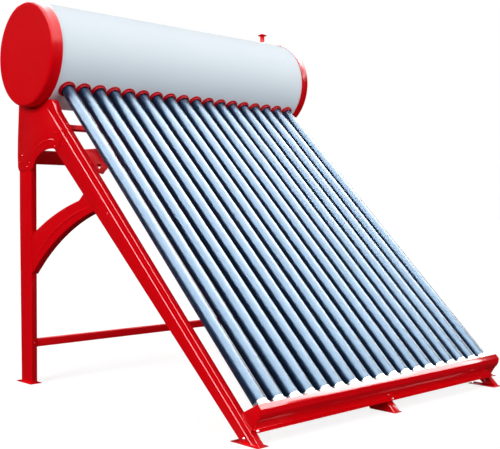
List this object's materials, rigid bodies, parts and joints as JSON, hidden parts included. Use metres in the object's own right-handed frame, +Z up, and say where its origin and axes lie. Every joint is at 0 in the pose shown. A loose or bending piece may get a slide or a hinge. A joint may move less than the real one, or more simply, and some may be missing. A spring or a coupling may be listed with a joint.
{
  "type": "solar water heater",
  "caption": "Thermosiphon solar water heater: a cylindrical insulated tank on a red sloping steel stand, with a bank of evacuated glass tubes plugged into it.",
  "frame": {"origin": "on the ground, at the middle of the bottom of the object's box", "axes": "+X along the tank, towards the end with the vent; +Y from the tail rail at the front to the tank's rear; +Z up"},
  "size_m": [1.5856, 1.6684, 1.762],
  "materials": {
    "red_paint": "glossy red powder coat on folded sheet steel",
    "casing": "satin silver-blue coated sheet steel",
    "red_plastic": "moulded red plastic",
    "red_silicone": "soft red silicone rubber",
    "stainless": "stainless steel and zinc-plated fasteners",
    "foam": "rigid polyurethane foam",
    "tube_glass": "borosilicate glass over a dark blue selective coating",
    "absorber": "dark blue selective absorber coating",
    "cup_plastic": "off-white moulded plastic"
  },
  "bodies": {
    "stand": {"tank_outer_shell": "casing", "insulation_foam": "foam", "inner_tank": "stainless", "end_cap_left": "red_paint", "end_cap_right": "red_paint", "tube_seal_01": "red_silicone", "tube_seal_02": "red_silicone", "tube_seal_03": "red_silicone", "tube_seal_04": "red_silicone", "tube_seal_05": "red_silicone", "tube_seal_06": "red_silicone", "tube_seal_07": "red_silicone", "tube_seal_08": "red_silicone", "tube_seal_09": "red_silicone", "tube_seal_10": "red_silicone", "tube_seal_11": "red_silicone", "tube_seal_12": "red_silicone", "tube_seal_13": "red_silicone", "tube_seal_14": "red_silicone", "tube_seal_15": "red_silicone", "tube_seal_16": "red_silicone", "tube_seal_17": "red_silicone", "tube_seal_18": "red_silicone", "vent_pipe": "stainless", "cold_water_inlet": "stainless", "hot_water_outlet": "stainless", "front_leg_left": "red_paint", "front_leg_right": "red_paint", "rear_leg_left": "red_paint", "rear_leg_right": "red_paint", "saddle_bracket_left": "red_paint", "saddle_bracket_right": "red_paint", "curved_brace_left": "red_paint", "curved_brace_right": "red_paint", "rear_crossbar_upper": "red_paint", "rear_crossbar_lower": "red_paint", "front_crossbar_upper": "red_paint", "tail_rail": "red_paint", "tail_cup_strip": "cup_plastic", "middle_foot": "red_paint"},
    "tube_01": {"vacuum_tube_01": "tube_glass"},
    "tube_02": {"vacuum_tube_02": "tube_glass"},
    "tube_03": {"vacuum_tube_03": "tube_glass"},
    "tube_04": {"vacuum_tube_04": "tube_glass"},
    "tube_05": {"vacuum_tube_05": "tube_glass"},
    "tube_06": {"vacuum_tube_06": "tube_glass"},
    "tube_07": {"vacuum_tube_07": "tube_glass"},
    "tube_08": {"vacuum_tube_08": "tube_glass"},
    "tube_09": {"vacuum_tube_09": "tube_glass"},
    "tube_10": {"vacuum_tube_10": "tube_glass"},
    "tube_11": {"vacuum_tube_11": "tube_glass"},
    "tube_12": {"vacuum_tube_12": "tube_glass"},
    "tube_13": {"vacuum_tube_13": "tube_glass"},
    "tube_14": {"vacuum_tube_14": "tube_glass"},
    "tube_15": {"vacuum_tube_15": "tube_glass"},
    "tube_16": {"vacuum_tube_16": "tube_glass"},
    "tube_17": {"vacuum_tube_17": "tube_glass"},
    "tube_18": {"vacuum_tube_18": "tube_glass"},
    "vent_cap": {"vent_cap": "red_plastic"}
  },
  "joints": [
    {"name": "tube_01_lift", "type": "slide", "parent": "stand", "child": "tube_01", "axis": [0, 0.7157, 0.6984], "range_m": [0, 0.04]},
    {"name": "tube_02_lift", "type": "slide", "parent": "stand", "child": "tube_02", "axis": [0, 0.7157, 0.6984], "range_m": [0, 0.04]},
    {"name": "tube_03_lift", "type": "slide", "parent": "stand", "child": "tube_03", "axis": [0, 0.7157, 0.6984], "range_m": [0, 0.04]},
    {"name": "tube_04_lift", "type": "slide", "parent": "stand", "child": "tube_04", "axis": [0, 0.7157, 0.6984], "range_m": [0, 0.04]},
    {"name": "tube_05_lift", "type": "slide", "parent": "stand", "child": "tube_05", "axis": [0, 0.7157, 0.6984], "range_m": [0, 0.04]},
    {"name": "tube_06_lift", "type": "slide", "parent": "stand", "child": "tube_06", "axis": [0, 0.7157, 0.6984], "range_m": [0, 0.04]},
    {"name": "tube_07_lift", "type": "slide", "parent": "stand", "child": "tube_07", "axis": [0, 0.7157, 0.6984], "range_m": [0, 0.04]},
    {"name": "tube_08_lift", "type": "slide", "parent": "stand", "child": "tube_08", "axis": [0, 0.7157, 0.6984], "range_m": [0, 0.04]},
    {"name": "tube_09_lift", "type": "slide", "parent": "stand", "child": "tube_09", "axis": [0, 0.7157, 0.6984], "range_m": [0, 0.04]},
    {"name": "tube_10_lift", "type": "slide", "parent": "stand", "child": "tube_10", "axis": [0, 0.7157, 0.6984], "range_m": [0, 0.04]},
    {"name": "tube_11_lift", "type": "slide", "parent": "stand", "child": "tube_11", "axis": [0, 0.7157, 0.6984], "range_m": [0, 0.04]},
    {"name": "tube_12_lift", "type": "slide", "parent": "stand", "child": "tube_12", "axis": [0, 0.7157, 0.6984], "range_m": [0, 0.04]},
    {"name": "tube_13_lift", "type": "slide", "parent": "stand", "child": "tube_13", "axis": [0, 0.7157, 0.6984], "range_m": [0, 0.04]},
    {"name": "tube_14_lift", "type": "slide", "parent": "stand", "child": "tube_14", "axis": [0, 0.7157, 0.6984], "range_m": [0, 0.04]},
    {"name": "tube_15_lift", "type": "slide", "parent": "stand", "child": "tube_15", "axis": [0, 0.7157, 0.6984], "range_m": [0, 0.04]},
    {"name": "tube_16_lift", "type": "slide", "parent": "stand", "child": "tube_16", "axis": [0, 0.7157, 0.6984], "range_m": [0, 0.04]},
    {"name": "tube_17_lift", "type": "slide", "parent": "stand", "child": "tube_17", "axis": [0, 0.7157, 0.6984], "range_m": [0, 0.04]},
    {"name": "tube_18_lift", "type": "slide", "parent": "stand", "child": "tube_18", "axis": [0, 0.7157, 0.6984], "range_m": [0, 0.04]},
    {"name": "vent_cap_lift", "type": "slide", "parent": "stand", "child": "vent_cap", "axis": [0, 0, 1], "range_m": [0, 0.03]}
  ]
}
